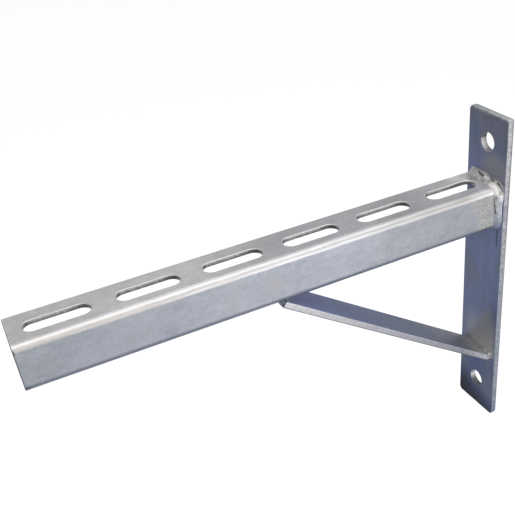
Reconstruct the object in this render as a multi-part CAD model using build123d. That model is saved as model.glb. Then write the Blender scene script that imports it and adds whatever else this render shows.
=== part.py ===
from build123d import *
import math
import os

# Cantilever strut arm for a wall: a flat bar plate with two bolt holes, a pressed channel arm with
# six slots, a flat bar brace below it, and the weld beads that hold the three together.
# Millimetres. The wall is the plane X = 0, the arm runs along +X and +Z is up. The origin is on
# the back of the plate, midway between its two holes.

# Wall plate, a length of flat bar
plate_width = 50.0
plate_thickness = 6.0
plate_length = 308.0
plate_corner_radius = 2.5
bar_edge_radius = 0.8
bolt_hole_diameter = 16.5
hole_edge_radius = 0.4
top_margin = 26.0
bottom_margin = 30.0

# Arm, a sheet folded to a channel that lies on its side with the open side to -Y
arm_length = 410.0
arm_width = 40.0
arm_height = 40.0
sheet_thickness = 4.0
bend_radius = 6.0
arm_below_upper_hole = 34.0

# Slots along the top of the arm, as many as fit between the two plain ends
slot_length = 49.0
slot_width = 15.0
slot_pitch = 67.5
slot_edge_radius = 0.5
plain_end = 10.0

# Brace, a length of flat bar as wide as the arm, cut to fit between the plate and the arm
brace_width = arm_width
brace_thickness = 6.0
brace_reach = 205.0
brace_overrun = 3.0
foot_above_lower_hole = 40.0
foot_seat = 3.0

# Weld beads, as leg lengths along the surfaces that each one joins
arm_bead_on_arm = 7.0
arm_bead_on_plate = 4.0
head_outer_leg = 4.5
head_inner_leg = 6.0
foot_top_leg = 2.5
foot_under_leg = 3.5
foot_under_inset = 4.0
bead_bulge = 0.5

# Places that the pieces share
bolt_spacing = plate_length - top_margin - bottom_margin
upper_hole_z = bolt_spacing / 2
plate_top_z = upper_hole_z + top_margin
arm_top_z = upper_hole_z - arm_below_upper_hole
arm_under_z = arm_top_z - arm_height
arm_middle_z = arm_top_z - arm_height / 2
arm_middle_x = plate_thickness + arm_length / 2
brace_foot_z = foot_above_lower_hole - bolt_spacing / 2
brace_drop = arm_under_z - brace_foot_z

# Directions of the brace: along it from the foot to the head, and square to it, down and outwards
brace_slope = math.atan2(brace_drop, brace_reach)
brace_along = Vector(math.cos(brace_slope), 0, math.sin(brace_slope))
brace_down = Vector(math.sin(brace_slope), 0, -math.cos(brace_slope))
foot = Vector(plate_thickness, 0, brace_foot_z)
head = Vector(plate_thickness + brace_reach, 0, arm_under_z)


def make_wall_plate():
    """Flat bar with rounded corners, eased edges and a bolt hole near each end."""
    middle_z = plate_top_z - plate_length / 2
    with BuildPart() as plate:
        with BuildSketch(Plane.YZ):
            with Locations((0, middle_z)):
                RectangleRounded(plate_width, plate_length, plate_corner_radius)
        extrude(amount=plate_thickness)
        fillet(plate.faces().sort_by(Axis.X)[-1].edges(), bar_edge_radius)
        fillet(plate.faces().sort_by(Axis.X)[0].edges(), bar_edge_radius)
        with BuildSketch(Plane.YZ):
            with Locations((0, upper_hole_z), (0, -upper_hole_z)):
                Circle(bolt_hole_diameter / 2)
        extrude(amount=plate_thickness, mode=Mode.SUBTRACT)
        rims = plate.edges().filter_by(GeomType.CIRCLE)
        rims = rims.filter_by(lambda rim: abs(rim.radius - bolt_hole_diameter / 2) < 0.01)
        fillet(rims, hole_edge_radius)
    return plate.part


def make_arm_channel():
    """Folded channel: a web on the +Y side, a slotted flange on top and a plain flange below."""
    inner_radius = bend_radius - sheet_thickness
    inner_height = arm_height - 2 * sheet_thickness
    slot_room = arm_length - 2 * plain_end - slot_length
    slot_count = 1 + int(slot_room // slot_pitch)
    with BuildPart() as arm:
        with BuildSketch(Plane.YZ.offset(plate_thickness)) as section:
            with Locations((0, arm_middle_z)):
                Rectangle(arm_width, arm_height)
            fillet(section.vertices().group_by(Axis.X)[-1], bend_radius)
            with BuildSketch(mode=Mode.PRIVATE) as hollow:
                with Locations((-sheet_thickness, arm_middle_z)):
                    Rectangle(arm_width, inner_height)
                fillet(hollow.vertices().group_by(Axis.X)[-1], inner_radius)
            add(hollow.sketch, mode=Mode.SUBTRACT)
        extrude(amount=arm_length)
        with BuildSketch(Plane.XY.offset(arm_top_z)):
            with Locations((arm_middle_x, 0)):
                with GridLocations(slot_pitch, 0, slot_count, 1):
                    SlotOverall(slot_length, slot_width)
        extrude(amount=-2 * sheet_thickness, mode=Mode.SUBTRACT)
        top_face = arm.faces().filter_by(Axis.Z).sort_by(Axis.Z)[-1]
        fillet([rim.edges() for rim in top_face.inner_wires()], slot_edge_radius)
    return arm.part


def make_brace_bar():
    """Flat bar on the slope, trimmed flat on the arm and the plate, its lower corner cut level."""
    length = math.hypot(brace_reach, brace_drop) + brace_overrun
    run_in = 2 * brace_thickness
    start = foot + brace_down * (brace_thickness / 2) - brace_along * run_in
    with BuildPart() as brace:
        with BuildSketch(Plane(origin=start, x_dir=(0, 1, 0), z_dir=brace_along)):
            RectangleRounded(brace_width, brace_thickness, bar_edge_radius)
        extrude(amount=length + run_in)
        split(bisect_by=Plane.YZ.offset(plate_thickness), keep=Keep.TOP)
        split(bisect_by=Plane.XY.offset(arm_under_z), keep=Keep.BOTTOM)
        split(bisect_by=Plane.XY.offset(brace_foot_z - foot_seat), keep=Keep.TOP)
    return brace.part


def bulged(first, second, root):
    """The crown of a bead: the middle of its open side, raised away from its root."""
    middle = (first + second) / 2
    return middle + (middle - root).normalized() * bead_bulge


def make_arm_weld():
    """Bead laid round the outside of the channel where its end stands on the plate."""
    far_y = -arm_width / 2
    near_y = arm_width / 2
    with BuildPart() as weld:
        with BuildLine(Plane.YZ.offset(plate_thickness)) as path:
            FilletPolyline(
                (far_y, arm_top_z),
                (near_y, arm_top_z),
                (near_y, arm_under_z),
                (far_y, arm_under_z),
                radius=bend_radius,
            )
        root = (plate_thickness, arm_top_z)
        up = (plate_thickness, arm_top_z + arm_bead_on_plate)
        out = (plate_thickness + arm_bead_on_arm, arm_top_z)
        with BuildSketch(Plane((0, far_y, 0), x_dir=(1, 0, 0), z_dir=(0, -1, 0))):
            with BuildLine():
                Line(out, root)
                Line(root, up)
                crown = bulged(Vector(*up), Vector(*out), Vector(*root))
                ThreePointArc(up, (crown.X, crown.Y), out)
            make_face()
        sweep(path=path.wire())
    return weld.part


def make_straight_bead(root, first, second, inset=0.0):
    """A bead along Y, across the brace, in the corner that runs from root to both points."""
    crown = bulged(first, second, root)
    with BuildPart() as bead:
        with BuildSketch(Plane.XZ.offset(inset - brace_width / 2)):
            with BuildLine():
                Line((root.X, root.Z), (first.X, first.Z))
                ThreePointArc((first.X, first.Z), (crown.X, crown.Z), (second.X, second.Z))
                Line((second.X, second.Z), (root.X, root.Z))
            make_face()
        extrude(amount=brace_width - 2 * inset)
    return bead.part


def make_brace_head_weld_inner():
    """Bead in the narrow corner between the top of the brace and the underside of the arm."""
    on_arm = head - Vector(head_inner_leg, 0, 0)
    on_brace = head - brace_along * head_inner_leg
    return make_straight_bead(head, on_arm, on_brace)


def make_brace_head_weld_outer():
    """Bead that fills the corner between the square end of the brace and the arm above it."""
    above = brace_overrun * math.tan(brace_slope)
    corner = head + brace_along * brace_overrun + brace_down * above
    lower = head + brace_along * brace_overrun + brace_down * brace_thickness
    on_arm = corner + Vector(head_outer_leg, 0, 0)
    on_end = lower - brace_down * bar_edge_radius
    return make_straight_bead(corner, on_arm, on_end)


def make_brace_foot_weld_top():
    """Bead on top of the brace where it meets the plate."""
    on_plate = foot + Vector(0, 0, foot_top_leg)
    on_brace = foot + brace_along * foot_top_leg
    return make_straight_bead(foot, on_plate, on_brace)


def make_brace_foot_weld_under():
    """Bead below the level cut of the brace, short of its edges, where it meets the plate."""
    root = foot - Vector(0, 0, foot_seat)
    on_plate = root - Vector(0, 0, foot_under_leg)
    on_brace = root + Vector(foot_under_leg, 0, 0)
    return make_straight_bead(root, on_plate, on_brace, foot_under_inset)


pieces = {
    "wall_plate": make_wall_plate(),
    "arm_channel": make_arm_channel(),
    "brace_bar": make_brace_bar(),
    "arm_weld": make_arm_weld(),
    "brace_head_weld_inner": make_brace_head_weld_inner(),
    "brace_head_weld_outer": make_brace_head_weld_outer(),
    "brace_foot_weld_top": make_brace_foot_weld_top(),
    "brace_foot_weld_under": make_brace_foot_weld_under(),
}

os.makedirs("parts", exist_ok=True)
for name, piece in pieces.items():
    piece.label = name
    export_step(piece, f"parts/{name}.step")
    box = piece.bounding_box()
    print(name, round(piece.volume), box.min, box.max)
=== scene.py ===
# %% [markdown]
# # A cantilever strut arm
# A plate of flat bar is bolted to a wall, a folded steel channel stands out from it to carry cable
# tray or pipe, and a flat bar brace props the channel from below. All of it is zinc coated.
# The measured solids are loaded first. They fix every size and place, and each piece modelled here
# is laid over one of them, so nothing has to be guessed twice.

# %% Load the measured part
import math

import bmesh
import bpy
from mathutils import Matrix, Vector, noise


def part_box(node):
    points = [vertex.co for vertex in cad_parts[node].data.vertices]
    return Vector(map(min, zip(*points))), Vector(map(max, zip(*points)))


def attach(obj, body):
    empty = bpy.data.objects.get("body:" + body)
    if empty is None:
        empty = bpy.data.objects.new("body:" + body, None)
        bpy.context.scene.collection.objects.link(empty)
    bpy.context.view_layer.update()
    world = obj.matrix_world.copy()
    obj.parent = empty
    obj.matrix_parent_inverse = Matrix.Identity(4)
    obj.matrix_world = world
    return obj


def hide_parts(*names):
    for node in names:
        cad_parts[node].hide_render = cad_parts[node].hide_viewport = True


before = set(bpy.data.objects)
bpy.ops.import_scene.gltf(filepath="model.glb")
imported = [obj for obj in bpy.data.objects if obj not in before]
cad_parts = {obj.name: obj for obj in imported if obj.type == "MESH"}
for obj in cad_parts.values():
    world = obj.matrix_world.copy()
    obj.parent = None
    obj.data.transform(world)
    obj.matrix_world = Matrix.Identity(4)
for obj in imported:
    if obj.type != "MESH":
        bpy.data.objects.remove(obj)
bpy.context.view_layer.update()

# %% [markdown]
# ## The camera
# A camera is a place, a direction and a lens. These came from fitting the plate's corners, the
# arm's edges and the slots to their places in the picture. The lens is a short tele one, and the
# small shift stands for a picture that was cropped a little off centre.

# %% Set the camera
camera_data = bpy.data.cameras.new("camera")
camera_data.sensor_width = 36.0
camera_data.lens = 57.404
camera_data.shift_x = -0.05764
camera_data.shift_y = 0.02174
camera = bpy.data.objects.new("camera", camera_data)
camera.location = (0.429125, 0.506786, 0.404340)
camera.rotation_euler = [math.radians(turn) for turn in (58.781, 4.624, 152.907)]
bpy.context.scene.collection.objects.link(camera)
bpy.context.scene.camera = camera
print("lens", camera_data.lens, "mm, camera", round(camera.location.length, 2), "m from the wall bolts")

# %% [markdown]
# ## The floor and the world
# The real bracket was shot on plain white with no shadow. Here a pale floor lies well below the
# part, as if the bracket hung on its wall, so its shadow stays wide and faint. It shows white to
# the camera and to reflections, but throws back only a little light, because a white room would
# wash out the dark face of the plate.

# %% Build the floor
def seen_directly(tree):
    """1 for camera, glossy and transmission rays, which show the background, and 0 for others."""
    path = tree.nodes.new("ShaderNodeLightPath")
    total = path.outputs["Is Camera Ray"]
    for name in ("Is Glossy Ray", "Is Transmission Ray"):
        either = tree.nodes.new("ShaderNodeMath")
        either.operation = "MAXIMUM"
        tree.links.new(total, either.inputs[0])
        tree.links.new(path.outputs[name], either.inputs[1])
        total = either.outputs[0]
    return total


def choose(tree, for_light, for_sight, output):
    """Join the shader that lights the part and the one that is seen."""
    choice = tree.nodes.new("ShaderNodeMixShader")
    tree.links.new(seen_directly(tree), choice.inputs[0])
    tree.links.new(for_light.outputs[0], choice.inputs[1])
    tree.links.new(for_sight.outputs[0], choice.inputs[2])
    tree.links.new(choice.outputs[0], tree.nodes[output].inputs[0])


bpy.ops.object.select_all(action="DESELECT")
bpy.ops.mesh.primitive_plane_add(size=14, location=(0.2, 0, -0.45))
floor = bpy.context.active_object
floor.name = "floor"
floor_paint = bpy.data.materials.new("pale_floor")
floor_paint.use_nodes = True
tree = floor_paint.node_tree
tree.nodes.remove(tree.nodes["Principled BSDF"])
matt = tree.nodes.new("ShaderNodeBsdfDiffuse")
matt.inputs["Color"].default_value = (0.35, 0.35, 0.36, 1)
glow = tree.nodes.new("ShaderNodeEmission")
glow.inputs["Strength"].default_value = 0.88
both = tree.nodes.new("ShaderNodeAddShader")
tree.links.new(matt.outputs[0], both.inputs[0])
tree.links.new(glow.outputs[0], both.inputs[1])
choose(tree, matt, both, "Material Output")
floor.data.materials.append(floor_paint)
print("floor at z", round(floor.location.z, 3))

# %% [markdown]
# The world works the same way. It shows white, and lights the part with a dim, bluish grey.

# %% Build the world
world = bpy.data.worlds.new("studio")
bpy.context.scene.world = world
world.use_nodes = True
tree = world.node_tree
dim = tree.nodes["Background"]
dim.inputs["Color"].default_value = (0.80, 0.86, 1.0, 1)
dim.inputs["Strength"].default_value = 0.32
white = tree.nodes.new("ShaderNodeBackground")
white.inputs["Color"].default_value = (1, 1, 1, 1)
choose(tree, dim, white, "World Output")
bpy.context.scene.view_settings.view_transform = "Standard"
print("world", world.name)

# %% [markdown]
# ## The lamps
# The rounded fold of the arm shows two white streaks with a duller line between them. Each streak
# is the mirror image of a lamp, so there are two soft boxes: one overhead and one in front of the
# arm. A third, weaker one hangs beyond the free end and lifts the brace and the plate's face a
# little. It stays weak, because in the picture nothing shines on that face and it looks dark.

# %% Hang the soft boxes
middle = Vector((0.21, 0, 0))


def hang_softbox(name, direction, distance, width, height, watts):
    """A flat lamp, seen from the part in the given direction and turned towards it."""
    lamp_data = bpy.data.lights.new(name, "AREA")
    lamp_data.shape = "RECTANGLE"
    lamp_data.size = width
    lamp_data.size_y = height
    lamp_data.energy = watts
    lamp = bpy.data.objects.new(name, lamp_data)
    lamp.location = middle + Vector(direction).normalized() * distance
    lamp.rotation_euler = (middle - lamp.location).to_track_quat("-Z", "Y").to_euler()
    bpy.context.scene.collection.objects.link(lamp)
    print(name, "at", [round(value, 3) for value in lamp.location])


hang_softbox("overhead_softbox", (-0.35, 0.12, 0.93), 1.1, 1.4, 1.1, 6.8)
hang_softbox("front_softbox", (-0.35, 0.93, 0.10), 1.1, 1.5, 1.0, 7.0)
hang_softbox("side_softbox", (0.45, 0.65, 0.60), 1.2, 1.2, 1.2, 3.5)

# %% [markdown]
# ## The arm's shape
# The arm is one strip of 4 mm steel with two folds, and it lies on its side with its web in front
# and its open side behind. It could be drawn as a profile and pushed along. Here it starts as a box
# as large as the measured arm, because then the two fold edges are there to be rounded. The box is
# a cube, moved and stretched, and its place then goes into its mesh, so that every place on it can
# be read off in the part's frame.

# %% Add the arm's box
def add_block(name, low, high, turn=0.0):
    """A box between two corners, turned about its own middle, with its place in its mesh."""
    bpy.ops.object.select_all(action="DESELECT")
    centre = [(a + b) / 2 for a, b in zip(low, high)]
    size = [b - a for a, b in zip(low, high)]
    bpy.ops.mesh.primitive_cube_add(size=1, location=centre, rotation=(0, turn, 0), scale=size)
    block = bpy.context.active_object
    block.name = name
    bpy.ops.object.transform_apply(location=True, rotation=True, scale=True)
    return block


arm_low, arm_high = (Vector(corner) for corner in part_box("arm_channel"))
arm = add_block("arm", arm_low, arm_high)
print("the arm's box measures", [round(value, 4) for value in arm_high - arm_low], "m")

# %% [markdown]
# By hand, faces and edges are picked with the mouse. With no window to click in, a piece of code
# picks them by where they are and which way they face. The box loses its two ends and its open
# side, and a bevel rounds the two long edges of the web.

# %% Open the box and round its folds
fold_radius = 0.006
touch = 0.00001


def pick(kind, test):
    """Go into edit mode and select the faces, edges or corners that pass the test."""
    bpy.ops.object.mode_set(mode="EDIT")
    bpy.ops.mesh.select_mode(type=kind)
    bpy.ops.mesh.select_all(action="DESELECT")
    mesh = bpy.context.active_object.data
    shape = bmesh.from_edit_mesh(mesh)
    parts = {
        "FACE": [(face, face.calc_center_median(), face.normal) for face in shape.faces],
        "EDGE": [(edge, edge.verts[0].co, edge.verts[1].co) for edge in shape.edges],
        "VERT": [(corner, corner.co) for corner in shape.verts],
    }
    for part, *places in parts[kind]:
        part.select_set(bool(test(*places)))
    bmesh.update_edit_mesh(mesh)


def round_edges(test, radius, segments):
    """Bevel the picked edges to a round of the given radius."""
    pick("EDGE", test)
    bpy.ops.mesh.bevel(offset=radius, segments=segments, profile=0.5, affect="EDGES")
    bpy.ops.object.mode_set(mode="OBJECT")


def tell(piece):
    print(piece.name, "has", len(piece.data.polygons), "faces")


pick("FACE", lambda place, facing: facing.y < -0.5 or abs(facing.x) > 0.5)
bpy.ops.mesh.delete(type="FACE")
bpy.ops.object.mode_set(mode="OBJECT")
round_edges(lambda a, b: min(a.y, b.y) > arm_high.y - touch and abs(a.x - b.x) > 0.1, fold_radius, 14)
tell(arm)

# %% [markdown]
# Solidify gives the sheet its thickness inwards, which keeps the outside at its measured size. The
# modifier is applied at once, so that the mesh itself holds the shape.

# %% Give the sheet its thickness
sheet = 0.004


def shape_with(kind, **settings):
    """Add a modifier to the active piece, set it and apply it."""
    bpy.ops.object.modifier_add(type=kind)
    change = bpy.context.active_object.modifiers[-1]
    for name, value in settings.items():
        setattr(change, name, value)
    bpy.ops.object.modifier_apply(modifier=change.name)


shape_with("SOLIDIFY", thickness=sheet, offset=-1.0, use_even_offset=True)
tell(arm)

# %% [markdown]
# The free end was sawn by eye. It leans back by a degree or two, towards the underside and towards
# the open side, so a plane with a slightly turned normal cuts it.

# %% Saw the free end
def saw(place, facing):
    """Cut the active piece at a plane, drop what lies on the side it faces, and close the cut."""
    pick("FACE", lambda middle, normal: True)
    bpy.ops.mesh.bisect(
        plane_co=place, plane_no=facing, use_fill=True, clear_outer=True, threshold=0.000001
    )
    bpy.ops.object.mode_set(mode="OBJECT")


lean_across = -0.020
lean_down = -0.032
saw(arm_high, (1, lean_across, lean_down))
tell(arm)

# %% [markdown]
# The shears leave the four free corners of the strip a little round. These corners are the short
# edges through the sheet's thickness, at the open side.

# %% Take off the free corners
round_edges(
    lambda a, b: max(a.y, b.y) < arm_low.y + touch and abs(a.z - b.z) > sheet / 2 and a.x > 0.1,
    0.0015,
    4,
)
tell(arm)

# %% [markdown]
# ## The slots
# Six long slots are punched through the top of the arm. A slot is a cylinder cut in two halves
# that are drawn apart. The cylinder is turned by half a step, so that no corner lies on the line
# between the halves and the two long sides come out straight.

# %% Model one punch
def add_cylinder(sides, radius, depth, place, turn):
    """A cylinder turned about its own middle, with its place in its mesh."""
    bpy.ops.object.select_all(action="DESELECT")
    size = {"vertices": sides, "radius": radius, "depth": depth}
    bpy.ops.mesh.primitive_cylinder_add(location=place, rotation=turn, **size)
    bpy.ops.object.transform_apply(location=True, rotation=True, scale=True)
    return bpy.context.active_object


slot_length = 0.049
slot_width = 0.015
slot_pitch = 0.0675
slot_count = 6
row_middle = (arm_low.x + arm_high.x) / 2
first_slot = row_middle - slot_pitch * (slot_count - 1) / 2
draw_out = slot_length - slot_width
left_end = Vector((first_slot - draw_out / 2, 0, arm_high.z))
steps = 48
punch = add_cylinder(steps, slot_width / 2, 4 * sheet, left_end, (0, 0, math.pi / steps))
pick("VERT", lambda place: place.x > left_end.x)
bpy.ops.transform.translate(value=(draw_out, 0, 0))
bpy.ops.object.mode_set(mode="OBJECT")
tell(punch)

# %% [markdown]
# The punch is copied along the row. The copies are joined to one cutter, and a Boolean modifier
# takes it out of the arm, so that all slots come from one shape.

# %% Punch the slots
def make_active(piece):
    bpy.ops.object.select_all(action="DESELECT")
    piece.select_set(True)
    bpy.context.view_layer.objects.active = piece


def cut_away(piece, cutters):
    """Take the cutters' shapes out of the piece."""
    make_active(cutters[0])
    for cutter in cutters:
        cutter.select_set(True)
    bpy.ops.object.join()
    tool = bpy.context.active_object
    make_active(piece)
    shape_with("BOOLEAN", operation="DIFFERENCE", solver="EXACT", object=tool)
    bpy.data.objects.remove(tool)


punches = [punch]
for number in range(1, slot_count):
    another = punch.copy()
    another.data = punch.data.copy()
    another.data.transform(Matrix.Translation((slot_pitch * number, 0, 0)))
    bpy.context.scene.collection.objects.link(another)
    punches.append(another)
cut_away(arm, punches)
print("slots", slot_count, "from x", round(first_slot, 4), "every", slot_pitch)

# %% [markdown]
# A punch drags the top of the sheet down with it, so the upper rim of each slot is well rounded,
# while the lower rim and the cut ends of the arm are only eased by the zinc that covers them.

# %% Ease the rims and the cut ends
rim_gap = 0.0002


def on_slot_rim(point):
    """On the top face and on the outline of one of the slots."""
    nearest = round((point.x - first_slot) / slot_pitch)
    past_straight = max(0, abs(point.x - first_slot - nearest * slot_pitch) - draw_out / 2)
    radius = math.hypot(past_straight, point.y)
    return point.z > arm_high.z - touch and abs(radius - slot_width / 2) < rim_gap


def along_slot_rim(a, b):
    """Both ends on a rim, and not one on each side of the slot."""
    return on_slot_rim(a) and on_slot_rim(b) and (a.y * b.y > 0 or abs(a.x - b.x) < 0.002)


def smooth_out(piece):
    """Smooth shading whose normals follow the large flat faces, so that they stay flat."""
    make_active(piece)
    bpy.ops.object.shade_smooth()
    shape_with("WEIGHTED_NORMAL", keep_sharp=True, weight=50)


round_edges(along_slot_rim, 0.0009, 4)
make_active(arm)
shape_with("BEVEL", width=0.0005, segments=2, limit_method="ANGLE", angle_limit=math.radians(50))
smooth_out(arm)
tell(arm)

# %% [markdown]
# ## The wall plate
# The plate is a length of 50 by 6 mm flat bar, cropped at both ends. Its corners were knocked round
# and differ a little. They are rounded first, and then the edges of the two faces are eased, those
# next to the wall more than those in front.

# %% Shape the plate
plate_low, plate_high = (Vector(corner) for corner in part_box("wall_plate"))
near_side = plate_high.y - 0.0001
plate = add_block("plate", plate_low, plate_high)
round_edges(lambda a, b: abs(a.x - b.x) > 0.001 and a.y < 0, 0.0042, 10)
round_edges(lambda a, b: abs(a.x - b.x) > 0.001 and a.y > near_side and a.z > 0, 0.0018, 6)
round_edges(lambda a, b: abs(a.x - b.x) > 0.001 and a.y > near_side and a.z < 0, 0.0034, 8)
round_edges(lambda a, b: max(a.x, b.x) < plate_low.x + touch, 0.0013, 4)
round_edges(lambda a, b: min(a.x, b.x) > plate_high.x - touch, 0.0009, 4)
tell(plate)

# %% [markdown]
# A bolt hole lies near each end. The holes are cut last and their rims eased after that, because a
# rim is only there once its hole is.

# %% Drill the plate
hole_radius = 0.00825
hole_heights = (-0.126, 0.126)
crosswise = (0, math.pi / 2, 0)
drills = [
    add_cylinder(64, hole_radius, 0.02, (plate_high.x / 2, 0, height), crosswise)
    for height in hole_heights
]
cut_away(plate, drills)


def on_hole_rim(point):
    """On a broad face of the plate and on the outline of one of the holes."""
    depth = min(abs(point.x - plate_low.x), abs(point.x - plate_high.x))
    radius = min(math.hypot(point.y, point.z - height) for height in hole_heights)
    return depth < touch and abs(radius - hole_radius) < rim_gap


round_edges(lambda a, b: on_hole_rim(a) and on_hole_rim(b) and abs(a.x - b.x) < touch, 0.0006, 3)
smooth_out(plate)
tell(plate)

# %% [markdown]
# ## The brace
# The brace is flat bar again, set on the slope that joins the plate to the underside of the arm.
# A bar longer than needed is laid along that slope and sawn three times: upright at the plate,
# level under the arm, and level across its foot.

# %% Shape the brace
brace_foot = Vector((plate_high.x, 0, -0.086))
brace_head = Vector((0.211, 0, arm_low.z))
foot_level = -0.089
brace_half = 0.020
brace_thickness = 0.006
slope = math.atan2(brace_head.z - brace_foot.z, brace_head.x - brace_foot.x)
along = Vector((math.cos(slope), 0, math.sin(slope)))
down = Vector((math.sin(slope), 0, -math.cos(slope)))
run_in = 0.012
overrun = 0.0015
length = (brace_head - brace_foot).length + run_in + overrun
centre = brace_foot + down * brace_thickness / 2 + along * (length / 2 - run_in)
half = Vector((length / 2, brace_half, brace_thickness / 2))
brace = add_block("brace", centre - half, centre + half, turn=-slope)
round_edges(lambda a, b: (a - b).length > length / 2, 0.0013, 5)
saw(brace_foot, (-1, 0, 0))
saw(brace_head, (0, 0, 1))
saw((0, 0, foot_level), (0, 0, -1))
make_active(brace)
shape_with("BEVEL", width=0.0006, segments=3, limit_method="ANGLE", angle_limit=math.radians(40))
smooth_out(brace)
print("slope", round(math.degrees(slope), 2), "degrees")
tell(brace)

# %% [markdown]
# ## The weld beads
# A hand-laid bead is a row of frozen drops: a fillet whose legs wander, with faint ripples across
# it, ridges where the welder paused, and grooves where slag was knocked out. The ridges and the
# grooves come first. Each is a mark that runs from one place on the bead to another and fades to
# its sides. A place is a distance along the seam and a share of the way round the bead.

# %% Work out a mark's height
def mark_height(mark, s, around, girth):
    """Height at a place on the bead of a ridge or a groove that runs from one place to another."""
    start_s, start_around, end_s, end_around, height, width = mark
    run = Vector((end_s - start_s, (end_around - start_around) * girth))
    gap = Vector((s - start_s, (around - start_around) * girth))
    share = max(0.0, min(1.0, gap.dot(run) / max(run.length_squared, 1e-12)))
    return height * math.exp(-(((gap - run * share).length / width) ** 2))


ridge = (0.0, 0.5, 0.010, 0.5, 0.001, 0.0005)
for beside in (0.5, 0.52, 0.55):
    print("ridge at", beside, "is", round(mark_height(ridge, 0.005, beside, 0.01), 6), "m high")

# %% [markdown]
# The bead follows its seam, so a plain primitive can't be pushed into its shape by hand. A flat
# grid is added instead and wrapped round the seam by code: its length runs along the seam and its
# width goes round the bead, over the open side and back through the corner. Its edges are merged
# and its ends filled. The grid keeps four values for the finish: how far along the seam and how far
# round the bead each corner lies, and how deep in a groove or high on a ridge it is.

# %% Lay a bead
steps_round = 36
open_share = 0.8
end_length = 0.002
ripple_height = 0.00006
ripple_pitch = 0.0018
ripple_lag = 0.0011
full_groove = 0.001
full_ridge = 0.0005
sink = 0.0002
root_depth = 0.0005


def lay_bead(name, seam, seam_length, step, lump, marks=(), blunt=False):
    """Wrap a grid round a seam. seam(s) gives the root, the two leg directions and the two legs."""
    bpy.ops.object.select_all(action="DESELECT")
    rows = int(seam_length / step)
    bpy.ops.mesh.primitive_grid_add(x_subdivisions=rows, y_subdivisions=steps_round, size=1)
    bead = bpy.context.active_object
    bead.name = name
    kept = {"seam": [], "round": [], "groove": [], "ridge": []}
    for vertex in bead.data.vertices:
        s = (vertex.co.x + 0.5) * seam_length
        around = min(1.0, (vertex.co.y + 0.5) / open_share)
        inside = max(0.0, (vertex.co.y + 0.5 - open_share) / (1 - open_share))
        root, first, second, first_leg, second_leg = seam(s)
        end = min(1.0, (s if blunt else min(s, seam_length - s)) / end_length)
        end_scale = 0.25 + 0.75 * math.sqrt(1 - (1 - end) ** 2)
        wander = Vector((s * 220, 3.1, len(name)))
        first_leg *= end_scale * (1 + 0.10 * noise.noise(wander))
        second_leg *= end_scale * (1 + 0.10 * noise.noise(wander + Vector((0, 9, 0))))
        angle = around * math.pi / 2
        cosine, sine = math.cos(angle), math.sin(angle)
        place = root + (first * first_leg * cosine**1.6 + second * second_leg * sine**1.6)
        outward = (first * cosine + second * sine).normalized()
        rise = math.sin(math.pi * around) ** 0.6 if 0 < around < 1 else 0.0
        height = lump * noise.noise(place * 170) + lump * 0.5 * noise.noise(place * 420)
        phase = (s - ripple_lag * math.sin(math.pi * around)) / ripple_pitch
        height += ripple_height * math.cos(2 * math.pi * phase)
        girth = 0.8 * (first_leg + second_leg)
        raised = [mark_height(mark, s, around, girth) for mark in marks]
        ridge = sum(value for value in raised if value > 0)
        groove = -sum(value for value in raised if value < 0)
        place += outward * (height * rise + ridge - groove) * end_scale
        edge_sink = (first + second) * sink
        place -= edge_sink * (1 - rise)
        if inside > 0:
            last = root + second * second_leg - edge_sink
            start = root + first * first_leg - edge_sink
            deep = root - (first + second) * root_depth
            place = last.lerp(deep, inside * 2) if inside < 0.5 else deep.lerp(start, inside * 2 - 1)
        vertex.co = place
        values = (s, around, min(1.0, groove / full_groove), min(1.0, ridge / full_ridge))
        for key, value in zip(kept, values):
            kept[key].append(value)
    for key, values in kept.items():
        bead.data.attributes.new(key, "FLOAT", "POINT").data.foreach_set("value", values)
    make_active(bead)
    bpy.ops.object.mode_set(mode="EDIT")
    bpy.ops.mesh.select_all(action="SELECT")
    bpy.ops.mesh.remove_doubles(threshold=touch)
    bpy.ops.mesh.fill_holes(sides=0)
    bpy.ops.mesh.select_all(action="SELECT")
    bpy.ops.mesh.normals_make_consistent(inside=False)
    bpy.ops.object.mode_set(mode="OBJECT")
    bpy.ops.object.shade_smooth()
    tell(bead)
    return bead


print("steps round a bead", steps_round)

# %% [markdown]
# The longest bead goes round the outside of the arm where it stands on the plate: along the top,
# round the fold, down the web and back along the underside. A seam tells where its root lies at a
# distance s from its start, which way its two legs point, and how long they are there.

# %% The seam round the arm
straight = arm_high.y - arm_low.y - fold_radius
upright = arm_high.z - arm_low.z - 2 * fold_radius
quarter = fold_radius * math.pi / 2


def round_the_arm(s):
    """The outline of the arm at distance s from the far end of its top: place and direction."""
    place, turn = Vector((plate_high.x, arm_low.y, arm_high.z)), 0.0
    for stretch, bends in zip((straight, quarter, upright, quarter, straight), (0, 1, 0, 1, 0)):
        part = min(s, stretch)
        s -= part
        if bends:
            place -= Vector((0, math.sin(turn), math.cos(turn))) * fold_radius
            turn += part / fold_radius
            place += Vector((0, math.sin(turn), math.cos(turn))) * fold_radius
        else:
            place += Vector((0, math.cos(turn), -math.sin(turn))) * part
    return place, Vector((0, math.sin(turn), math.cos(turn)))


def between(value, *stops):
    """The value read off a line through (place, value) stops, in millimetres, as metres."""
    value *= 1000
    for (start, low), (end, high) in zip(stops, stops[1:]):
        if value <= end:
            share = max(0.0, (value - start) / (end - start))
            return (low + (high - low) * share) / 1000
    return stops[-1][1] / 1000


def arm_seam(s):
    place, outward = round_the_arm(s)
    on_arm = between(s, (0, 3.5), (3, 6), (17, 7.5), (45, 7), (62, 6.5), (70, 5.8), (120, 5))
    on_plate = between(
        s, (0, 1.5), (3, 6.3), (17, 6.6), (28, 5), (36, 4.3), (42, 4.7), (55, 4), (120, 3.5)
    )
    return place, Vector((1, 0, 0)), outward, on_arm, on_plate


seam_length = 2 * straight + 2 * quarter + upright
print("the seam round the arm is", round(seam_length, 4), "m long")

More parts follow.
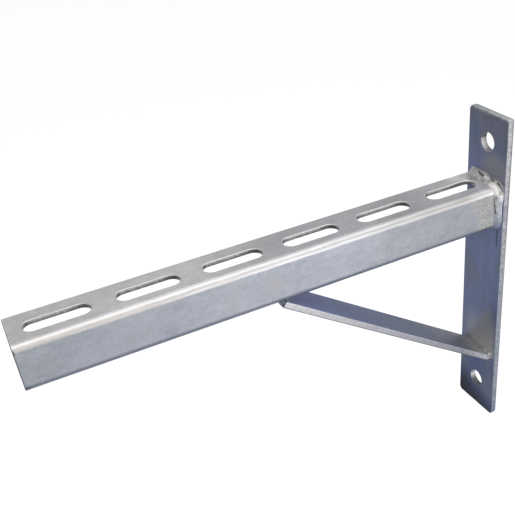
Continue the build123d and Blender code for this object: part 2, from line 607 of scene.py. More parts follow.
# %% [markdown]
# The bead climbs the plate most at the far end of the top, where it was started. A row of slag pits
# runs along it to the fold, more pits and cracks follow on the web, and lumps lie between them.

# %% The bead round the arm
arm_marks = [
    (0.0125, 0.70, 0.0205, 0.54, -0.0010, 0.0007),
    (0.0160, 0.66, 0.0190, 0.58, -0.0005, 0.0006),
    (0.0265, 0.95, 0.0330, 0.66, -0.0009, 0.0006),
    (0.0345, 0.90, 0.0370, 0.76, -0.0006, 0.0005),
    (0.0370, 0.76, 0.0416, 0.80, -0.0010, 0.0006),
    (0.0490, 0.03, 0.0560, 0.16, -0.0010, 0.0006),
    (0.0540, 0.12, 0.0610, 0.24, -0.0012, 0.0010),
    (0.0640, 0.30, 0.0660, 0.50, -0.0004, 0.0008),
    (0.0450, 0.24, 0.0480, 0.30, -0.0003, 0.0011),
    (0.0500, 0.95, 0.0610, 0.93, -0.0005, 0.0005),
    (0.0040, 0.96, 0.0120, 0.96, -0.0003, 0.0005),
    (0.0900, 0.45, 0.0930, 0.50, -0.0006, 0.0011),
    (0.0225, 0.62, 0.0265, 0.60, 0.0005, 0.0012),
    (0.0345, 0.98, 0.0405, 0.97, 0.0005, 0.0007),
    (0.0450, 0.62, 0.0485, 0.66, 0.0008, 0.0015),
    (0.0550, 0.80, 0.0620, 0.80, 0.0004, 0.0007),
    (0.0980, 0.50, 0.1010, 0.50, 0.0006, 0.0016),
]
arm_bead = lay_bead("arm_bead", arm_seam, seam_length, 0.0003, 0.0005, arm_marks)

# %% [markdown]
# Four short beads hold the brace. Two lie at its head, one in the narrow corner above it and one
# that fills the step between its square end and the arm. Where the arm's edge is rounded, the gap
# is higher, and they climb after it.

# %% The beads at the head of the brace
def under_the_fold(y):
    """How far the rounded edge of the arm lies above its flat underside, at a place across it."""
    out = y - (arm_high.y - fold_radius)
    return fold_radius - math.sqrt(fold_radius**2 - out**2) if out > 0 else 0.0


def head_inner_seam(s):
    gap = under_the_fold(s - brace_half)
    root = Vector((brace_head.x + min(0.0035, gap * 4), s - brace_half, brace_head.z + gap))
    on_brace = Vector((brace_head.x, root.y, brace_head.z)) - along * 0.0065 - root
    return root, Vector((-1, 0, 0)), on_brace.normalized(), 0.0060, on_brace.length


def head_outer_seam(s):
    gap = under_the_fold(s - brace_half)
    corner = brace_head + along * overrun + down * overrun * math.tan(slope)
    root = Vector((corner.x, s - brace_half, corner.z + gap))
    on_brace = down * 0.0046 - Vector((0, 0, gap))
    return root, Vector((1, 0, 0)), on_brace.normalized(), 0.0043, on_brace.length


head_seam = 2 * brace_half - 0.0008
head_inner = lay_bead("brace_head_inner_bead", head_inner_seam, head_seam, 0.0005, 0.0002, blunt=True)
head_outer = lay_bead("brace_head_outer_bead", head_outer_seam, head_seam, 0.0005, 0.0002, blunt=True)

# %% [markdown]
# At the foot, the upper bead is thin and grows towards the near side, where it ends in two lumps under
# a painted highlight and a pit. The lower one hides below the brace and stops short of its edges.

# %% The beads at the foot of the brace
under_half = 0.016


def foot_top_seam(s):
    root = Vector((brace_foot.x, -brace_half + s, brace_foot.z))
    leg = between(s, (0, 1.6), (22, 1.8), (29, 2.6), (34, 3.0), (40, 3.4))
    return root, Vector((0, 0, 1)), along, leg, leg


def foot_under_seam(s):
    root = Vector((brace_foot.x, -under_half + s, foot_level))
    return root, Vector((0, 0, -1)), Vector((1, 0, 0)), 0.0033, 0.0033


foot_marks = [
    (0.0010, 0.25, 0.0300, 0.25, -0.0003, 0.0005),
    (0.0355, 0.35, 0.0365, 0.45, -0.0009, 0.0009),
    (0.0320, 0.60, 0.0335, 0.60, 0.0004, 0.0011),
    (0.0385, 0.55, 0.0400, 0.55, 0.0005, 0.0012),
]
foot_top = lay_bead("brace_foot_top_bead", foot_top_seam, 2 * brace_half, 0.0004, 0.0003, foot_marks)
foot_under = lay_bead("brace_foot_under_bead", foot_under_seam, 2 * under_half, 0.0005, 0.0002)

# %% [markdown]
# ## Tools for finishes
# A finish is a chain of nodes. Zinc from a hot bath needs dozens of them, so those that come back
# all the time get a short name. The first ones are for masks. A mask goes from 0 to 1 and tells
# where a colour lies, and masks are multiplied to narrow them down. They follow the piece's own
# coordinates in metres, so they keep their size.

# %% Masks
class Masks:
    """A material under construction, with short names for the nodes that make its masks."""

    def __init__(self, name):
        self.material = bpy.data.materials.new(name)
        self.material.use_nodes = True
        self.tree = self.material.node_tree
        source = self.add("TexCoord", {})
        self.place = source.outputs["Object"]
        self.x, self.y, self.z = self.add("SeparateXYZ", {0: self.place}).outputs
        facing = self.add("SeparateXYZ", {0: source.outputs["Normal"]})
        self.facing_x, self.facing_y, self.facing_z = facing.outputs

    def fill(self, node, inputs):
        """Link each named input of a node to another node's output, or set it to a value."""
        for name, value in inputs.items():
            socket = node.inputs[name]
            if isinstance(value, bpy.types.NodeSocket):
                self.tree.links.new(value, socket)
            elif socket.type == "RGBA":
                socket.default_value = (*value, 1)
            else:
                socket.default_value = value

    def add(self, kind, inputs, **settings):
        node = self.tree.nodes.new("ShaderNode" + kind)
        for name, value in settings.items():
            setattr(node, name, value)
        self.fill(node, inputs)
        return node

    def work_out(self, operation, *values):
        return self.add("Math", dict(enumerate(values)), operation=operation).outputs[0]

    def share(self, value, start, end):
        """How far a value has come on its way from start to end."""
        return self.work_out("DIVIDE", self.work_out("SUBTRACT", value, start), end - start)

    def shifted(self, value, by, middle, amount):
        """A value moved as another one leaves its middle. It tilts a border, or frays it by noise."""
        away = self.work_out("SUBTRACT", by, middle)
        return self.work_out("ADD", value, self.work_out("MULTIPLY", away, amount))

    def outside(self, mask):
        return self.work_out("SUBTRACT", 1.0, mask)

    def where(self, first, *others):
        """Where all the masks are 1."""
        for other in others:
            first = self.work_out("MULTIPLY", first, other)
        return first

    def step(self, value, start, end):
        """0 at start, 1 at end, with a soft turn between them."""
        inputs = {"Value": value, "From Min": start, "From Max": end}
        return self.add("MapRange", inputs, interpolation_type="SMOOTHSTEP").outputs["Result"]

    def band(self, value, low, high, soft):
        """1 between two values and 0 outside them."""
        return self.where(self.step(value, low - soft, low), self.step(value, high + soft, high))

    def mapped(self, **inputs):
        """The piece's coordinates, moved, turned or drawn out."""
        return self.add("Mapping", {"Vector": self.place, **inputs}, vector_type="TEXTURE").outputs[0]

    def spot(self, centre, radii, edge=0.2):
        """1 in the middle of an egg of these radii and 0 outside it."""
        vector = self.mapped(Location=centre, Scale=radii)
        reach = self.add("VectorMath", {0: vector}, operation="LENGTH").outputs["Value"]
        return self.step(reach, 1.0, edge)

    def noise(self, scale, detail=4.0, stretch=(1, 1, 1), turn=0.0, distortion=0.0):
        """Cloudy noise of so many cells per metre, turned about Y and drawn out by the stretch."""
        vector = self.mapped(Scale=stretch, Rotation=(0, math.radians(turn), 0))
        inputs = {"Vector": vector, "Scale": scale, "Detail": detail, "Distortion": distortion}
        return self.add("TexNoise", inputs).outputs["Fac"]

    def kept(self, name):
        """A value that the mesh keeps at its corners."""
        return self.add("Attribute", {}, attribute_name=name).outputs["Fac"]


print("masks are ready")

# %% [markdown]
# A ramp turns a number into a colour. Each further colour is laid over the ones before it where its
# mask is 1, as stains lie over each other. At the end the colour, a roughness that wavers and a
# fine relief go into the shader.

# %% Colours
class Finish(Masks):
    colour = None

    def ramp(self, value, *stops):
        """Stops along a value from 0 to 1: a place and a colour, or a place and a plain number."""
        node = self.add("ValToRGB", {0: value})
        elements = node.color_ramp.elements
        while len(elements) < len(stops):
            elements.new(0.5)
        for element, (position, *colour) in zip(elements, stops):
            element.position = position
            element.color = (*(colour if len(colour) == 3 else colour * 3), 1)
        return node.outputs[0]

    def mix(self, factor, first, second, blend="MIX"):
        inputs = {0: factor, 6: first, 7: second}
        return self.add("Mix", inputs, data_type="RGBA", blend_type=blend).outputs[2]

    def shade(self, colour, by, low, high):
        """Multiply a colour by plain numbers between a low and a high stop."""
        return self.mix(1.0, colour, self.ramp(by, low, high), "MULTIPLY")

    def mottle(self, by, low, high):
        self.colour = self.shade(self.colour, by, (0.3, low), (0.7, high))

    def lay(self, mask, colour, strength=1.0):
        """Lay a colour over what is there."""
        if strength < 1:
            mask = self.work_out("MULTIPLY", mask, strength)
        self.colour = self.mix(mask, self.colour, colour)

    def count(self):
        print(self.material.name, "has", len(self.tree.nodes), "nodes")

    def done(self, uneven, smoothest, relief, metallic, specular=0.5):
        """Join everything to the shader. The roughness wavers with a noise above its lowest value,
        and the relief is a list of heights and their depths, each on top of the ones before it."""
        normal = {}
        for height, depth in relief:
            bump = self.add("Bump", {"Height": height, "Distance": depth, **normal})
            normal = {"Normal": bump.outputs[0]}
        inputs = {
            "Base Color": self.colour,
            "Roughness": self.work_out("ADD", self.work_out("MULTIPLY", uneven, 0.25), smoothest),
            "Metallic": metallic,
            "Specular IOR Level": specular,
            **normal,
        }
        self.fill(self.tree.nodes["Principled BSDF"], inputs)
        self.count()
        return self.material


print("colours are ready")

# %% [markdown]
# ## The finish of the arm
# The zinc on the arm is a satin grey, neutral on top and bluer on the web. It is lightest in the middle
# of the web and on the top towards the free end. On the top next to the weld it is lighter still, which
# is painted light where the plate shades the top from the overhead lamp. Each has a ramp along the arm,
# and the way the surface faces decides between the two.

# %% The arm's broad faces
zinc = Finish("zinc_on_the_arm")
length_share = zinc.share(zinc.x, 0.0, arm_high.x)
zinc.colour = zinc.ramp(
    length_share,
    (0.05, 0.28, 0.29, 0.32),
    (0.18, 0.31, 0.32, 0.34),
    (0.4, 0.4, 0.415, 0.465),
    (0.6, 0.375, 0.39, 0.43),
    (0.82, 0.305, 0.32, 0.36),
    (1.0, 0.31, 0.33, 0.365),
)
# the top's ramp: zinc tone, with painted light next to the weld where the plate shades it
top_tone_and_painted_light = zinc.ramp(
    length_share,
    (0.04, 0.8, 0.785, 0.79),
    (0.09, 0.36, 0.35, 0.36),
    (0.22, 0.265, 0.26, 0.27),
    (0.36, 0.355, 0.35, 0.36),
    (0.5, 0.34, 0.335, 0.345),
    (0.66, 0.47, 0.46, 0.465),
    (1.0, 0.46, 0.45, 0.45),
)
upward = zinc.step(zinc.facing_z, 0.55, 0.95)
zinc.lay(upward, top_tone_and_painted_light)
zinc.count()

# %% [markdown]
# Zinc that has run and cooled is never even. Soft clouds as wide as a thumb, a finer mottling and a
# fine grain change its colour a little. A few dark specks and one beige stain lie on the web.

# %% Clouds, stain and specks on the arm
clouds = zinc.noise(26, stretch=(1.8, 1, 1), distortion=0.5)
mottling = zinc.noise(170, 5.0, stretch=(1.6, 1, 1), distortion=0.4)
grain = zinc.noise(800)
zinc.mottle(clouds, 0.93, 1.07)
zinc.mottle(mottling, 0.91, 1.08)
zinc.mottle(zinc.noise(380, 3.0), 0.94, 1.06)
on_web = zinc.step(zinc.facing_y, 0.5, 0.9)
zinc.lay(zinc.where(zinc.step(clouds, 0.5, 0.62), on_web), (0.4, 0.39, 0.43), 0.3)
stain = zinc.spot((0.221, 0.02, 0.073), (0.009, 0.006, 0.018))
zinc.lay(zinc.where(stain, zinc.step(mottling, 0.35, 0.6)), (0.375, 0.365, 0.36), 0.65)
specks = zinc.where(zinc.step(zinc.noise(520, 2.0), 0.7, 0.76), zinc.step(clouds, 0.46, 0.54))
zinc.lay(specks, (0.13, 0.13, 0.14), 0.6)
zinc.count()

# %% [markdown]
# The upper fold is polished by the press, with fine scratches along it, and it is painted much lighter
# as a painted highlight: two pale streaks, the mirror images of the two soft boxes, with a duller line
# between them. It ends in a ragged line on the web. Towards the free end the lower streak of the
# painted highlight is duller. The lower fold gets painted shade.

# %% The arm's folds
ragged = zinc.shifted(zinc.facing_z, mottling, 0.5, 0.24)
folded = zinc.where(
    zinc.step(ragged, 0.09, 0.17),
    zinc.step(zinc.facing_z, 0.98, 0.72),
    zinc.step(zinc.facing_y, 0.2, 0.6),
)
# painted highlight on the upper fold, along the arm
fold_painted_highlight = zinc.ramp(
    length_share,
    (0.04, 0.78, 0.75, 0.73),
    (0.1, 0.455, 0.44, 0.43),
    (0.3, 0.6, 0.59, 0.58),
    (0.5, 0.735, 0.72, 0.71),
    (0.9, 0.755, 0.73, 0.705),
)
# the two painted highlight streaks across the fold, and their duller form at the free end
twin_streak_highlight = zinc.ramp(zinc.facing_z, (0.2, 0.97), (0.34, 0.97), (0.57, 0.73), (0.8, 1.0))
free_end_streak_highlight = zinc.ramp(
    zinc.facing_z,
    (0.2, 0.53, 0.52, 0.505),
    (0.4, 0.55, 0.54, 0.53),
    (0.6, 0.74, 0.735, 0.725),
    (0.8, 1.0),
)
streak_highlight_profile = zinc.mix(zinc.step(length_share, 0.28, 1.0), twin_streak_highlight, free_end_streak_highlight)
fold_painted_highlight = zinc.mix(1.0, fold_painted_highlight, streak_highlight_profile, "MULTIPLY")
scratches = zinc.noise(480, 3.0, stretch=(12, 1, 1))
fold_painted_highlight = zinc.shade(fold_painted_highlight, scratches, (0.36, 0.9), (0.64, 1.07))
zinc.lay(folded, zinc.shade(fold_painted_highlight, mottling, (0.3, 0.92), (0.7, 1.0)))
# painted shade on the lower fold
low_down = zinc.step(zinc.z, arm_low.z + 0.007, arm_low.z + 0.004)
lower_fold_painted_shade = zinc.where(low_down, zinc.step(zinc.facing_y, 0.02, 0.3))
zinc.lay(lower_fold_painted_shade, (0.145, 0.16, 0.215))
zinc.count()

# %% [markdown]
# The punched walls of the slots are pale above, where the punch slid, and dark below, where the steel
# tore, with slanting marks. Their ends get painted shade, darkest round the ends next to the plate. The
# share of a slot's own step along the row tells those ends from the others, whichever slot it is.

# %% The walls and rims of the slots
wall_bottom = arm_high.z - sheet
tear_depth = 0.00385
row_edge = slot_width / 2 + 0.0015
in_row = zinc.step(zinc.work_out("ABSOLUTE", zinc.y), row_edge, row_edge - 0.0004)
in_wall = zinc.where(
    in_row,
    zinc.step(zinc.z, wall_bottom - 0.0008, wall_bottom - 0.0004),
    zinc.step(zinc.facing_z, 0.4, 0.15),
    zinc.step(zinc.facing_z, -0.4, -0.15),
)
slanting_marks = zinc.noise(750, 2.0, stretch=(1, 1, 7), turn=38)
up_the_wall = zinc.share(zinc.z, wall_bottom, wall_bottom + tear_depth)
torn = zinc.shifted(up_the_wall, slanting_marks, 0.5, 1.6)
wall = zinc.ramp(
    torn,
    (0.1, 0.42, 0.41, 0.4),
    (0.42, 0.6, 0.57, 0.55),
    (0.6, 0.8, 0.77, 0.75),
    (1.0, 0.92, 0.89, 0.87),
)
zinc.lay(in_wall, wall)
row_start = first_slot - slot_pitch / 2
along_slot = zinc.work_out("FRACT", zinc.share(zinc.x, row_start, row_start + slot_pitch))
# painted shade at the ends of each slot, darkest at the end next to the plate
zinc.lay(zinc.where(in_wall, zinc.step(along_slot, 0.4, 0.2)), (0.15, 0.15, 0.155), 0.75)
zinc.lay(zinc.where(in_wall, zinc.step(zinc.facing_x, 0.2, 0.8)), (0.1, 0.1, 0.11), 0.7)
zinc.lay(zinc.where(in_wall, zinc.step(zinc.facing_x, -0.1, -0.6)), (0.2, 0.195, 0.2), 0.8)
# painted highlight on the upper rim of each slot, brightest next to the weld
near_face = zinc.step(zinc.z, arm_high.z - 0.0015, arm_high.z - 0.0008)
rim_painted_highlight = zinc.where(in_row, near_face, zinc.band(zinc.facing_z, 0.45, 0.9, 0.1))
zinc.lay(rim_painted_highlight, zinc.ramp(length_share, (0.06, 0.85, 0.83, 0.82), (0.12, 0.5, 0.5, 0.5)))
zinc.count()

# %% [markdown]
# Next to the weld the zinc is coarse and warm from the heat, with a ragged border that leans back as it
# goes down. On top it is scorched at the far side, and a painted highlight lies on the near side. A
# spot of painted shade darkens the lower fold beside the weld.

# %% The arm next to the weld
reach = zinc.shifted(zinc.x, clouds, 0.5, 0.05)
reach = zinc.shifted(reach, mottling, 0.5, 0.012)
reach = zinc.shifted(reach, zinc.z, (arm_low.z + arm_high.z) / 2, -0.45)
heat = zinc.where(zinc.step(reach, 0.036, 0.029), zinc.outside(folded))
coarse = zinc.noise(520)
heated = zinc.ramp(
    coarse,
    (0.34, 0.255, 0.255, 0.25),
    (0.52, 0.335, 0.335, 0.325),
    (0.68, 0.41, 0.4, 0.385),
)
zinc.lay(zinc.where(heat, zinc.step(zinc.facing_z, 0.8, 0.5)), heated, 0.9)
scorched = zinc.where(upward, zinc.spot((0.008, -0.016, arm_high.z), (0.026, 0.024, 0.01), 0.3))
scorch = zinc.ramp(mottling, (0.34, 0.36, 0.34, 0.325), (0.66, 0.5, 0.48, 0.465))
# painted highlight on the top next to the weld, at the near side
painted_highlight_near_weld = zinc.where(upward, zinc.spot((0.012, 0.013, arm_high.z), (0.013, 0.012, 0.01), 0.3))
zinc.lay(painted_highlight_near_weld, (0.66, 0.62, 0.6), 0.8)
zinc.lay(scorched, scorch, 0.9)
# painted shade on the lower fold next to the weld
painted_shade_under_weld = zinc.spot((0.02, 0.018, arm_low.z + 0.0025), (0.01, 0.006, 0.004), 0.4)
zinc.lay(painted_shade_under_weld, (0.08, 0.085, 0.11), 0.7)
zinc.count()

# %% [markdown]
# The cut end of the arm carries a little rust, a line of painted shade along the cut, and two dark
# corners: rust on the upper one, rust and painted shade on the lower one.
# Then the arm is dressed in its finish and takes the measured solid's place.

# %% The arm's free end
def hand_over(piece, node, material):
    """Dress the piece, and let it stand for the measured solid."""
    piece.data.materials.clear()
    piece.data.materials.append(material)
    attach(piece, "root")
    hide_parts(node)
    size = [round(value * 1000, 2) for value in piece.dimensions]
    print(piece.name, "stands for", node, "and measures", size, "mm")


free_end = arm_high.x
near_end = zinc.step(zinc.x, free_end - 0.011, free_end - 0.006)
rust = zinc.where(zinc.step(zinc.facing_x, 0.02, 0.25), near_end)
zinc.lay(rust, zinc.ramp(mottling, (0.4, 0.05, 0.035, 0.035), (0.65, 0.1, 0.09, 0.095)))
sawn = zinc.shifted(zinc.x, zinc.z, arm_high.z, lean_down)
# painted shade along the sawn edge of the web
painted_shade_cut_line = zinc.where(zinc.step(sawn, free_end - 0.0014, free_end - 0.0004), on_web)
zinc.lay(painted_shade_cut_line, (0.12, 0.11, 0.125), 0.75)
# the lower corner is rust under painted shade; the upper one is rust
lower_corner_rust_and_shade = zinc.spot((free_end, 0.018, arm_low.z + 0.001), (0.009, 0.01, 0.0065), 0.5)
upper_corner = zinc.spot((free_end, 0.02, arm_high.z - 0.005), (0.0025, 0.004, 0.003), 0.4)
zinc.lay(lower_corner_rust_and_shade, (0.055, 0.05, 0.06), 0.92)
zinc.lay(upper_corner, (0.1, 0.06, 0.055), 0.9)
relief = [(mottling, 0.00008), (zinc.where(coarse, heat), 0.0003), (grain, 0.00005)]
hand_over(arm, "arm_channel", zinc.done(mottling, 0.24, relief, 0.45))

# %% [markdown]
# ## The finish of the plate
# The plate is cut from rolled bar. Its broad faces keep a blue-grey zinc with soft upright streaks. It
# is painted rather dark, partly painted shade, as the faces turn away from the lamps, and a ramp up the
# plate makes them lighter and darker by height.

# %% The plate's broad faces
bar = Finish("zinc_on_the_plate")
clouds = bar.noise(30, stretch=(1, 1, 1.8), distortion=0.4)
mottling = bar.noise(190, 5.0, distortion=0.4)
grain = bar.noise(900)
streaks = bar.noise(260, 3.0, stretch=(1, 1, 14))
height_share = bar.share(bar.z, plate_low.z, plate_high.z)
# the faces' colour, kept dark in part as painted shade
bar.colour = bar.ramp(
    height_share,
    (0.1, 0.12, 0.155, 0.28),
    (0.22, 0.135, 0.175, 0.32),
    (0.29, 0.22, 0.265, 0.42),
    (0.66, 0.225, 0.27, 0.45),
    (0.85, 0.19, 0.215, 0.345),
    (0.95, 0.175, 0.19, 0.25),
    (1.0, 0.17, 0.18, 0.225),
)
bar.mottle(clouds, 0.9, 1.1)
bar.lay(bar.step(clouds, 0.5, 0.62), (0.215, 0.225, 0.27), 0.6)
bar.mottle(streaks, 0.93, 1.07)
bar.mottle(mottling, 0.95, 1.05)
bar.count()

# %% [markdown]
# The front is warmer above the arm, where the welder's heat reached, and bluer beside the upper hole.
# Round the foot of the brace it is pale and warm, which is painted light for light thrown back off the
# brace. A mask keeps these patches off the back. Both faces carry a painted highlight along the top,
# and painted shade, nearly black, at the lower end.

# %% The plate's patches
face = plate_high.x
front = bar.step(bar.x, face / 2, face - 0.001)
patches = [
    (bar.spot((face, 0.012, 0.102), (0.01, 0.024, 0.022), 0.4), (0.29, 0.29, 0.32), 0.9),
    (bar.spot((face, 0.012, 0.14), (0.01, 0.016, 0.014)), (0.185, 0.2, 0.265), 0.7),
    (bar.spot((face, -0.016, 0.134), (0.01, 0.01, 0.016)), (0.125, 0.185, 0.31), 0.6),
    # painted light round the foot of the brace
    (bar.spot((face, 0.013, -0.062), (0.01, 0.015, 0.034), 0.3), (0.38, 0.375, 0.4), 0.85),
]
for patch, colour, strength in patches:
    bar.lay(bar.where(front, patch), colour, strength)
# painted highlight along the top edge of the faces
ragged = bar.shifted(bar.z, mottling, 0.5, 0.008)
top_edge_painted_highlight = bar.step(ragged, plate_high.z - 0.0032, plate_high.z - 0.0004)
bar.lay(top_edge_painted_highlight, (0.31, 0.32, 0.32), 0.8)
above_brace = bar.share(bar.z, brace_foot.z - 0.001, brace_foot.z + 0.049)
# painted light beside the foot weld, above the brace
painted_light_beside_weld = bar.where(
    front,
    bar.outside(bar.step(above_brace, 0.0, 1.0)),
    bar.step(above_brace, -0.04, 0.0),
    bar.step(bar.y, -0.026, -0.002),
    bar.step(bar.y, brace_half + 0.006, brace_half),
)
bar.lay(painted_light_beside_weld, (0.62, 0.6, 0.58), 0.95)
# painted shade, nearly black, towards the lower end
height_for_painted_shade = bar.shifted(bar.work_out("SUBTRACT", bar.z, plate_low.z), bar.y, plate_low.y, 0.45)
bar.lay(bar.step(height_for_painted_shade, 0.046, 0.01), (0.006, 0.009, 0.022), 0.97)
# a short dark streak on the front just below the arm's web
dark_streak_below_web = bar.where(
    front, bar.band(bar.y, 0.0178, 0.0192, 0.0008), bar.band(bar.z, 0.036, 0.05, 0.004)
)
bar.lay(dark_streak_below_web, (0.06, 0.065, 0.1), 0.7)
bar.count()

# %% [markdown]
# The sides of the plate were sheared, so they are rougher than its faces. They are painted lighter than
# the faces, most of all near the top, partly as painted light where they face the lamps. The top itself
# darkens towards the far corner. The edge next to the wall gets painted shade all round, and the front
# edge a painted highlight where it looks up.

# %% The plate's sides
narrow = bar.step(bar.work_out("ABSOLUTE", bar.facing_x), 0.93, 0.55)
# the sides' colour: sheared zinc, lifted by painted light, most near the top
side = bar.ramp(
    height_share,
    (0.0, 0.22, 0.24, 0.32),
    (0.12, 0.305, 0.325, 0.375),
    (0.35, 0.285, 0.305, 0.355),
    (0.6, 0.365, 0.375, 0.39),
    (0.74, 0.43, 0.43, 0.445),
    (0.93, 0.455, 0.45, 0.455),
    (1.0, 0.52, 0.52, 0.51),
)
bar.lay(narrow, bar.shade(side, bar.noise(420, 5.0), (0.32, 0.7), (0.68, 1.24)))
splash = bar.where(narrow, bar.band(bar.z, 0.062, 0.086, 0.003), bar.step(mottling, 0.4, 0.58))
bar.lay(splash, (0.22, 0.21, 0.24), 0.4)
above = bar.where(narrow, bar.step(bar.facing_z, 0.1, 0.5))
top = bar.ramp(
    bar.share(bar.y, plate_low.y, plate_high.y),
    (0.0, 0.17, 0.175, 0.17),
    (0.2, 0.29, 0.295, 0.29),
    (0.5, 0.335, 0.34, 0.34),
    (1.0, 0.385, 0.39, 0.4),
)
bar.lay(above, bar.shade(top, mottling, (0.3, 0.8), (0.7, 1.2)))
# painted highlight on the front edge where it looks up
front_edge_painted_highlight = bar.where(bar.band(bar.facing_z, 0.25, 0.92, 0.1), bar.step(bar.facing_x, 0.25, 0.45))
pale = bar.ramp(mottling, (0.35, 0.26, 0.275, 0.28), (0.6, 0.48, 0.49, 0.5))
bar.lay(front_edge_painted_highlight, pale, 0.85)
# painted shade along the edges next to the wall: on the sides and all round the back face
upper_half = bar.step(bar.z, 0.02, 0.08)
bar.lay(bar.where(narrow, bar.step(bar.x, 0.0028, 0.0018), upper_half), (0.11, 0.115, 0.125), 0.5)
bar.lay(bar.where(narrow, bar.step(bar.x, 0.0014, 0.0007)), (0.11, 0.115, 0.14), 0.7)
back_edge_painted_shade = bar.where(bar.step(bar.facing_x, -0.15, -0.4), bar.step(bar.facing_x, -0.97, -0.85))
bar.lay(back_edge_painted_shade, (0.04, 0.045, 0.06), 0.85)
bar.count()

# %% [markdown]
# The colour of a drilled wall is painted light and shade that follow the way it faces: painted shade
# where it looks down, a painted highlight where it looks to the side, and painted shade again at the
# very bottom, deepening into the bore. The lower hole took more zinc, and its painted highlight is
# shorter. Both walls get fine lines round the bore.

# %% The walls of the bolt holes
hole_edge = hole_radius + 0.00135
near_holes = [
    bar.spot((face / 2, 0, height), (1, hole_edge, hole_edge), 0.93) for height in hole_heights
]
in_hole = bar.where(bar.work_out("MAXIMUM", *near_holes), narrow)
turned = bar.share(bar.facing_z, -1.0, 1.0)
# painted light and shade on the upper hole's wall, by the way it faces and by depth into the bore
upper_hole_painted_light = bar.ramp(
    turned,
    (0.25, 0.2, 0.21, 0.24),
    (0.42, 0.28, 0.25, 0.24),
    (0.54, 0.62, 0.57, 0.56),
    (0.8, 0.72, 0.72, 0.72),
    (0.98, 0.26, 0.25, 0.26),
)
upper_hole_painted_light = bar.shade(upper_hole_painted_light, bar.share(bar.x, 0.0, plate_high.x), (0.2, 0.5), (0.7, 1.0))
# painted light and shade on the lower hole's wall, by the way it faces
lower_hole_painted_light = bar.ramp(
    turned,
    (0.2, 0.22, 0.23, 0.27),
    (0.46, 0.45, 0.45, 0.5),
    (0.6, 1.0, 0.99, 1.0),
    (0.74, 0.34, 0.33, 0.32),
    (0.9, 0.12, 0.125, 0.135),
)
wall = bar.mix(bar.step(bar.z, -0.01, 0.01), lower_hole_painted_light, upper_hole_painted_light)
drill_lines = bar.noise(700, 2.0, stretch=(10, 1, 1))
bar.lay(in_hole, bar.shade(wall, drill_lines, (0.35, 0.72), (0.62, 1.1)))
relief = [(mottling, 0.0001), (grain, 0.00005)]
hand_over(plate, "wall_plate", bar.done(mottling, 0.34, relief, 0.25, 0.1))

# %% [markdown]
# ## The finish of the brace
# The brace is the same dark bar, partly painted shade as on the plate, but it slopes, so its broad
# faces are found by the angle between the surface and the slope. Its near side is pale at the head and
# duller and speckled towards the foot. Next to the foot the top is pale and warm, which is painted
# light for light thrown back between brace and plate, and the edges under the bar get painted shade.

# %% Finish the brace
bar = Finish("zinc_on_the_brace")
clouds = bar.noise(30, distortion=0.4)
mottling = bar.noise(190, 5.0, distortion=0.4)
grain = bar.noise(900)
facing_down = bar.work_out(
    "SUBTRACT",
    bar.work_out("MULTIPLY", bar.facing_x, down.x),
    bar.work_out("MULTIPLY", bar.facing_z, -down.z),
)
length_share = bar.share(bar.x, 0.0, brace_head.x + 0.005)
# the top's colour along the brace: dark in part as painted shade, with painted light at its warm start
# next to the foot
bar.colour = bar.ramp(
    length_share,
    (0.04, 0.47, 0.455, 0.43),
    (0.14, 0.17, 0.175, 0.2),
    (0.32, 0.1, 0.12, 0.18),
    (0.62, 0.105, 0.13, 0.235),
    (0.95, 0.135, 0.175, 0.38),
)
bar.mottle(clouds, 0.92, 1.08)
bar.mottle(mottling, 0.95, 1.05)
narrow = bar.step(bar.work_out("ABSOLUTE", facing_down), 0.95, 0.7)
side = bar.ramp(
    length_share,
    (0.03, 0.48, 0.48, 0.51),
    (0.18, 0.29, 0.295, 0.33),
    (0.45, 0.39, 0.39, 0.42),
    (0.95, 0.6, 0.6, 0.6),
)
bar.lay(narrow, bar.shade(side, bar.noise(420, 5.0), (0.32, 0.86), (0.68, 1.12)))
# painted shade along the edges under the bar
bar.lay(bar.band(facing_down, 0.3, 0.85, 0.12), (0.07, 0.075, 0.1), 0.85)
near_foot = bar.band(bar.x, 0.012, 0.045, 0.01)
specks = bar.where(narrow, near_foot, bar.step(bar.noise(520, 2.0), 0.6, 0.68))
bar.lay(specks, (0.07, 0.07, 0.075), 0.7)
relief = [(mottling, 0.0001), (grain, 0.00005)]
hand_over(brace, "brace_bar", bar.done(mottling, 0.34, relief, 0.25, 0.1))

# %% [markdown]
# ## The finish of the beads
# Zinc over a weld is uneven: dull in the dips, with a painted highlight on the ridges, and nearly black
# in the grooves, partly from slag left in its pits and partly painted shade in its creases and along
# its toes. The values that the grid kept place those darks and lights. Lower down on the web the bead
# is smooth and blue, with painted shade at its lowest part, and over the fold it carries the same
# painted highlight as the fold itself.

# %% Finish the bead round the arm
weld = Finish("zinc_on_the_arm_weld")
mottling = weld.noise(260, distortion=0.5)
fine = weld.noise(1300, 3.0)
seam, around = weld.kept("seam"), weld.kept("round")
weld.colour = weld.ramp(
    mottling,
    (0.34, 0.3, 0.285, 0.27),
    (0.5, 0.39, 0.375, 0.36),
    (0.66, 0.49, 0.475, 0.46),
)
on_web = weld.where(weld.step(seam, 0.044, 0.05), weld.step(weld.z, 0.04, 0.06))
bluish = weld.ramp(mottling, (0.34, 0.3, 0.32, 0.36), (0.66, 0.5, 0.52, 0.56))
weld.lay(on_web, bluish, 0.85)
# painted shade on the lowest part of the bead, by the lower fold
weld.lay(weld.step(weld.z, 0.068, 0.055), (0.15, 0.175, 0.26), 0.85)
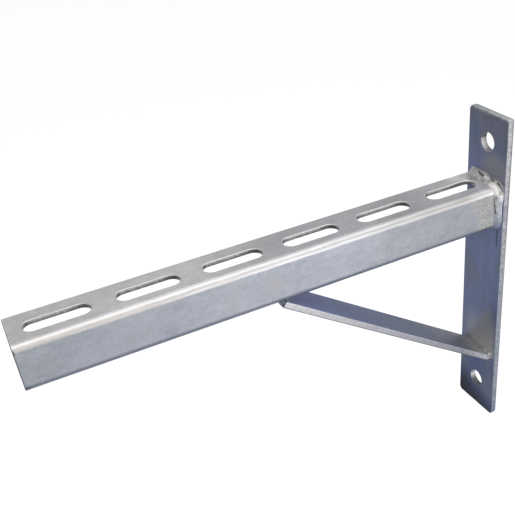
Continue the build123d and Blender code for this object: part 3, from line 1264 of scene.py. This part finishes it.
# painted highlight where the bead crosses the fold
fold_highlight_on_bead = weld.where(weld.band(seam, 0.033, 0.043, 0.003), weld.step(around, 0.62, 0.45))
weld.lay(fold_highlight_on_bead, (0.74, 0.72, 0.69), 0.9)
# painted highlight on the ridges
weld.lay(weld.kept("ridge"), (0.7, 0.7, 0.71), 0.8)
# grooves: slag in the pits, and painted shade in the creases and toes
weld.lay(weld.kept("groove"), (0.07, 0.07, 0.075), 0.85)
# painted shade along the toe of the bead
toe_painted_shade = weld.where(weld.step(around, 0.86, 0.96), weld.step(mottling, 0.34, 0.52))
weld.lay(toe_painted_shade, (0.1, 0.1, 0.11), 0.6)
relief = [(mottling, 0.00015), (fine, 0.00006)]
hand_over(arm_bead, "arm_weld", weld.done(fine, 0.3, relief, 0.4))

# %% [markdown]
# The four beads of the brace lie out of the light and share one finish: dark and blue at the head,
# which is painted shade, and a warm grey at the foot, with a painted highlight where the top bead faces
# the viewer. Their grooves are nearly black, partly slag and partly painted shade in the creases.

# %% Finish the beads of the brace
weld = Finish("zinc_on_the_brace_welds")
mottling = weld.noise(260)
fine = weld.noise(1300, 3.0)
# dark and blue: painted shade on the head beads
weld.colour = weld.ramp(mottling, (0.34, 0.16, 0.18, 0.25), (0.66, 0.24, 0.265, 0.33))
# more painted shade where the beads face the front
weld.lay(weld.step(weld.facing_y, 0.3, 0.7), (0.09, 0.105, 0.15), 0.9)
at_foot = weld.step(weld.z, 0.0, -0.02)
weld.lay(at_foot, weld.ramp(mottling, (0.34, 0.24, 0.235, 0.2), (0.66, 0.36, 0.35, 0.32)))
# painted highlight on the foot's top bead at the near side
weld.lay(weld.where(at_foot, weld.step(weld.y, 0.008, 0.0125)), (0.55, 0.53, 0.51), 0.85)
# grooves: slag in the pit, and painted shade in the crevice
weld.lay(weld.kept("groove"), (0.06, 0.055, 0.05), 0.85)
on_brace_welds = weld.done(fine, 0.32, [(mottling, 0.0001), (fine, 0.00006)], 0.3)
for bead, node in [
    (head_inner, "brace_head_weld_inner"),
    (head_outer, "brace_head_weld_outer"),
    (foot_top, "brace_foot_weld_top"),
    (foot_under, "brace_foot_weld_under"),
]:
    hand_over(bead, node, on_brace_welds)
